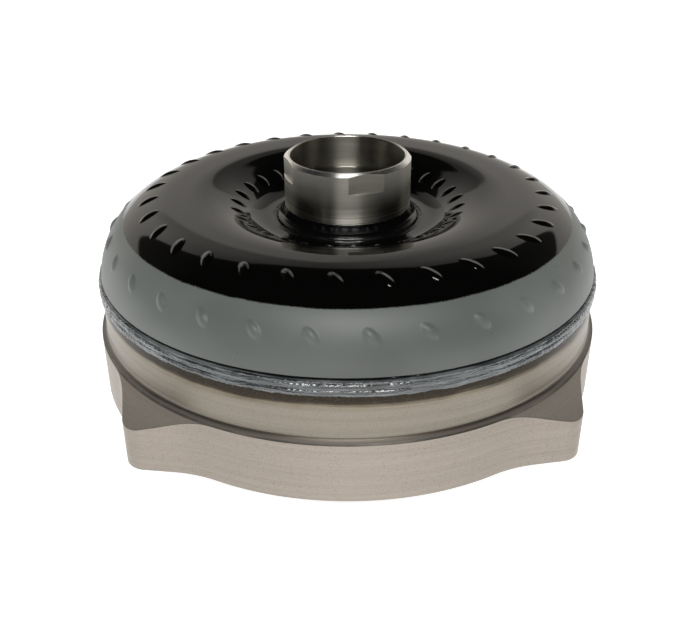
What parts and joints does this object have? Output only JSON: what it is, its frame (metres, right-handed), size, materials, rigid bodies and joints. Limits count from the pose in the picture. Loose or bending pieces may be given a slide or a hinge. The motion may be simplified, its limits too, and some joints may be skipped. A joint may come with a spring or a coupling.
{
  "type": "torque converter",
  "caption": "Automatic transmission torque converter: welded impeller shell and billet lobed cover around a turbine, one-way stator and lock-up clutch with damper.",
  "frame": {"origin": "on the shaft axis, in the plane of the cover face that the flexplate bolts to", "axes": "+Z along the shaft axis from the cover towards the pump drive hub; the bolt lobes stand at 45 degrees to +X and +Y"},
  "size_m": [0.2562, 0.2562, 0.1241],
  "materials": {
    "machined_cover": "fine turned, satin",
    "black_paint": "gloss black, light grey satin overspray towards the rim",
    "grey_paint": "satin light grey over a rippled bead",
    "hub_steel": "turned, ground journal",
    "sheet_steel": "pressed, satin",
    "forged_steel": "machined, satin",
    "bearing_steel": "ground, bright",
    "spring_steel": "dark, drawn",
    "cage_brass": "satin",
    "cast_alloy": "die cast, matt",
    "friction_paper": "matt, porous",
    "seal_polymer": "matt"
  },
  "bodies": {
    "housing": {"front_cover": "machined_cover", "crank_pilot": "machined_cover", "closure_weld": "grey_paint", "impeller_shell": "black_paint", "impeller_blades": "sheet_steel", "impeller_core_ring": "sheet_steel", "impeller_hub": "hub_steel", "impeller_hub_weld": "black_paint", "cover_bearing_lower_race": "bearing_steel", "pump_bearing_upper_race": "bearing_steel"},
    "turbine": {"turbine_shell": "sheet_steel", "turbine_blades": "sheet_steel", "turbine_core_ring": "sheet_steel", "turbine_hub": "forged_steel", "turbine_rivets": "forged_steel", "damper_driven_plate": "sheet_steel", "piston_seal_ring": "seal_polymer", "cover_bearing_upper_race": "bearing_steel", "turbine_bearing_lower_race": "bearing_steel"},
    "damper": {"damper_lower_plate": "sheet_steel", "damper_upper_plate": "sheet_steel", "damper_spacer_rivets": "forged_steel", "damper_springs": "spring_steel"},
    "piston": {"lockup_piston": "sheet_steel", "friction_lining": "friction_paper"},
    "stator": {"stator_wheel": "cast_alloy", "clutch_outer_race": "forged_steel", "clutch_rollers": "bearing_steel", "clutch_roller_springs": "spring_steel", "stator_front_cap": "cast_alloy", "stator_rear_cap": "cast_alloy", "turbine_bearing_upper_race": "bearing_steel", "pump_bearing_lower_race": "bearing_steel"},
    "stator_race": {"clutch_inner_race": "forged_steel"},
    "cover_bearing": {"cover_bearing_cage": "cage_brass", "cover_bearing_needles": "bearing_steel"},
    "turbine_bearing": {"turbine_bearing_cage": "cage_brass", "turbine_bearing_needles": "bearing_steel"},
    "pump_bearing": {"pump_bearing_cage": "cage_brass", "pump_bearing_needles": "bearing_steel"}
  },
  "joints": [
    {"name": "turbine_spin", "type": "hinge", "parent": "housing", "child": "turbine", "pos_m": [0, 0, 0], "axis": [0, 0, 1], "continuous": true},
    {"name": "damper_twist", "type": "hinge", "parent": "turbine", "child": "damper", "pos_m": [0, 0, 0], "axis": [0, 0, 1], "range_deg": [-6, 6], "stiffness_Nm_per_rad": 2500, "deforming": ["damper_springs"]},
    {"name": "piston_slide", "type": "slide", "parent": "damper", "child": "piston", "axis": [0, 0, 1], "range_m": [0, 0.0015]},
    {"name": "stator_spin", "type": "hinge", "parent": "housing", "child": "stator", "pos_m": [0, 0, 0], "axis": [0, 0, 1], "continuous": true},
    {"name": "stator_race_spin", "type": "hinge", "parent": "stator", "child": "stator_race", "pos_m": [0, 0, 0], "axis": [0, 0, 1], "continuous": true},
    {"name": "cover_bearing_spin", "type": "hinge", "parent": "housing", "child": "cover_bearing", "pos_m": [0, 0, 0], "axis": [0, 0, 1], "continuous": true},
    {"name": "turbine_bearing_spin", "type": "hinge", "parent": "housing", "child": "turbine_bearing", "pos_m": [0, 0, 0], "axis": [0, 0, 1], "continuous": true},
    {"name": "pump_bearing_spin", "type": "hinge", "parent": "housing", "child": "pump_bearing", "pos_m": [0, 0, 0], "axis": [0, 0, 1], "continuous": true}
  ],
  "couplings": [
    {"joint": "cover_bearing_spin", "follows": "turbine_spin", "ratio": 0.5},
    {"joint": "turbine_bearing_spin", "follows": "turbine_spin", "ratio": 0.5},
    {"joint": "pump_bearing_spin", "follows": "stator_spin", "ratio": 0.5}
  ]
}
